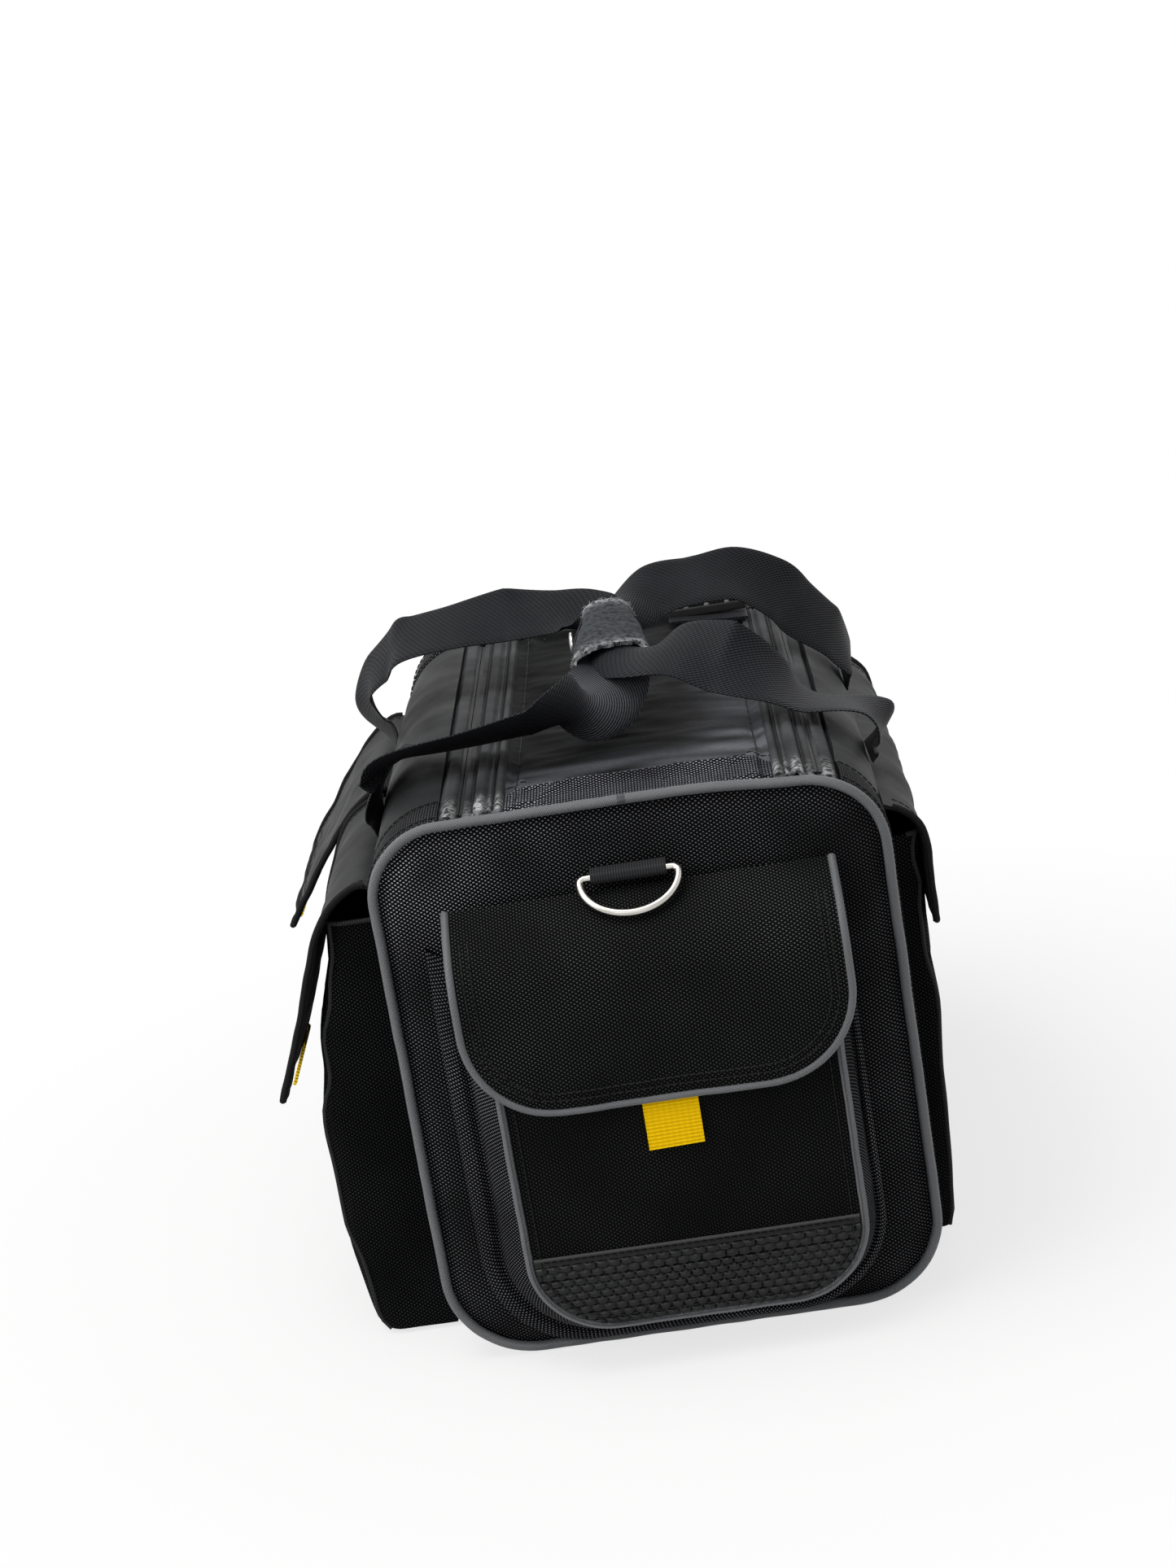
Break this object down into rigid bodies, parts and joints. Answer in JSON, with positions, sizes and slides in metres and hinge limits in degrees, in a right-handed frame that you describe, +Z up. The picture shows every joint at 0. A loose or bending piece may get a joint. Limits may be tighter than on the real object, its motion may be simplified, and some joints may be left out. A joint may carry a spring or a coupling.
{
  "type": "flight bag",
  "caption": "Soft-sided box-shaped flight bag with a zipped lid, webbing handles joined by a grip wrap, flapped side and end pockets, and D-rings for a shoulder strap.",
  "frame": {"origin": "centre of the flat bottom panel, on the surface that the bag stands on", "axes": "+Z up; -Y is the pictured end; +X to the right of it; the length runs along Y"},
  "size_m": [0.3277, 0.4326, 0.3158],
  "materials": {
    "weave": "matte basket weave",
    "coated": "smooth coated cloth",
    "webbing": "ribbed webbing",
    "piping": "woven cord",
    "suede": "worn suede",
    "patch": "embossed vinyl",
    "yellow": "ribbed grosgrain",
    "grey_tab": "ribbed webbing",
    "nickel": "polished",
    "plastic": "moulded",
    "board": "sheet",
    "hook": "hook-and-loop"
  },
  "bodies": {
    "carcass": {"base_board": "board", "bottom_panel": "coated", "front_d_ring_tab": "grey_tab", "front_end_panel": "weave", "front_gusset": "weave", "front_loop_strip": "hook", "front_piping": "piping", "front_pocket_face": "weave", "front_pocket_gusset": "weave", "front_pocket_patch": "patch", "front_pocket_piping": "piping", "left_front_pocket": "weave", "left_rear_pocket": "weave", "left_side_panel": "coated", "left_zip_body_tape": "webbing", "rear_d_ring_tab": "grey_tab", "rear_end_panel": "weave", "rear_gusset": "weave", "rear_loop_strip": "hook", "rear_piping": "piping", "rear_pocket_face": "weave", "rear_pocket_gusset": "weave", "rear_pocket_patch": "patch", "rear_pocket_piping": "piping", "rear_top_strip": "weave", "right_pocket": "weave", "right_side_panel": "coated", "right_zip_body_tape": "webbing"},
    "lid": {"buckle_tab": "webbing", "ladder_buckle": "plastic", "left_zip_lid_tape": "webbing", "lid_panel": "coated", "right_zip_lid_tape": "webbing"},
    "left_handle": {"grip_wrap": "suede", "left_strap": "webbing", "wrap_snap": "nickel"},
    "right_handle": {"right_strap": "webbing"},
    "left_front_cover": {"left_front_flap": "coated", "left_front_pull_tab": "yellow"},
    "left_rear_cover": {"left_rear_flap": "coated", "left_rear_pull_tab": "yellow"},
    "right_cover": {"right_flap": "coated", "right_pull_tab": "yellow"},
    "front_cover": {"front_flap": "weave", "front_flap_piping": "piping", "front_hook_strip": "hook", "front_pull_tab": "yellow"},
    "front_ring": {"front_d_ring": "nickel"},
    "rear_cover": {"rear_flap": "weave", "rear_flap_piping": "piping", "rear_hook_strip": "hook", "rear_pull_tab": "yellow"},
    "rear_ring": {"rear_d_ring": "nickel"},
    "left_slider": {"left_zip_slider": "nickel"},
    "left_pull": {"left_zip_pull": "nickel"},
    "right_slider": {"right_zip_slider": "nickel"},
    "right_pull": {"right_zip_pull": "nickel"}
  },
  "joints": [
    {"name": "lid_open", "type": "hinge", "parent": "carcass", "child": "lid", "pos_m": [-0.071, 0, 0.264], "axis": [0, 1, 0], "range_deg": [-105, 0]},
    {"name": "left_handle_swing", "type": "hinge", "parent": "carcass", "child": "left_handle", "pos_m": [-0.1186, 0, 0.233], "axis": [0, 1, 0], "range_deg": [-105, 0], "deforming": ["left_strap"]},
    {"name": "right_handle_swing", "type": "hinge", "parent": "carcass", "child": "right_handle", "pos_m": [0.1186, 0, 0.233], "axis": [0, 1, 0], "range_deg": [0, 105], "deforming": ["right_strap"]},
    {"name": "front_flap_open", "type": "hinge", "parent": "carcass", "child": "front_cover", "pos_m": [0, -0.1855, 0.23], "axis": [-1, 0, 0], "range_deg": [0, 125]},
    {"name": "rear_flap_open", "type": "hinge", "parent": "carcass", "child": "rear_cover", "pos_m": [0, 0.1855, 0.23], "axis": [1, 0, 0], "range_deg": [0, 125]},
    {"name": "front_ring_swing", "type": "hinge", "parent": "front_cover", "child": "front_ring", "pos_m": [0, -0.1855, 0.23], "axis": [1, 0, 0], "range_deg": [-125, 0]},
    {"name": "rear_ring_swing", "type": "hinge", "parent": "rear_cover", "child": "rear_ring", "pos_m": [0, 0.1855, 0.23], "axis": [-1, 0, 0], "range_deg": [-125, 0]},
    {"name": "left_front_flap_open", "type": "hinge", "parent": "carcass", "child": "left_front_cover", "pos_m": [-0.11871, 0, 0.22978], "axis": [0, 1, 0], "range_deg": [0, 95]},
    {"name": "left_rear_flap_open", "type": "hinge", "parent": "carcass", "child": "left_rear_cover", "pos_m": [-0.11871, 0, 0.22978], "axis": [0, 1, 0], "range_deg": [0, 95]},
    {"name": "right_flap_open", "type": "hinge", "parent": "carcass", "child": "right_cover", "pos_m": [0.11915, 0, 0.22948], "axis": [0, -1, 0], "range_deg": [0, 95]},
    {"name": "left_slider_run", "type": "slide", "parent": "carcass", "child": "left_slider", "axis": [0, -1, 0], "range_m": [0, 0.29]},
    {"name": "left_pull_lift", "type": "hinge", "parent": "left_slider", "child": "left_pull", "pos_m": [-0.071, 0.1464, 0.2678], "axis": [1, 0, 0], "range_deg": [0, 95]},
    {"name": "right_slider_run", "type": "slide", "parent": "carcass", "child": "right_slider", "axis": [0, -1, 0], "range_m": [0, 0.29]},
    {"name": "right_pull_lift", "type": "hinge", "parent": "right_slider", "child": "right_pull", "pos_m": [0.09, 0.1464, 0.2675], "axis": [1, 0, 0], "range_deg": [0, 95]}
  ],
  "couplings": [
    {"joint": "left_handle_swing", "follows": "lid_open", "ratio": 1},
    {"joint": "right_handle_swing", "follows": "lid_open", "ratio": -1}
  ]
}
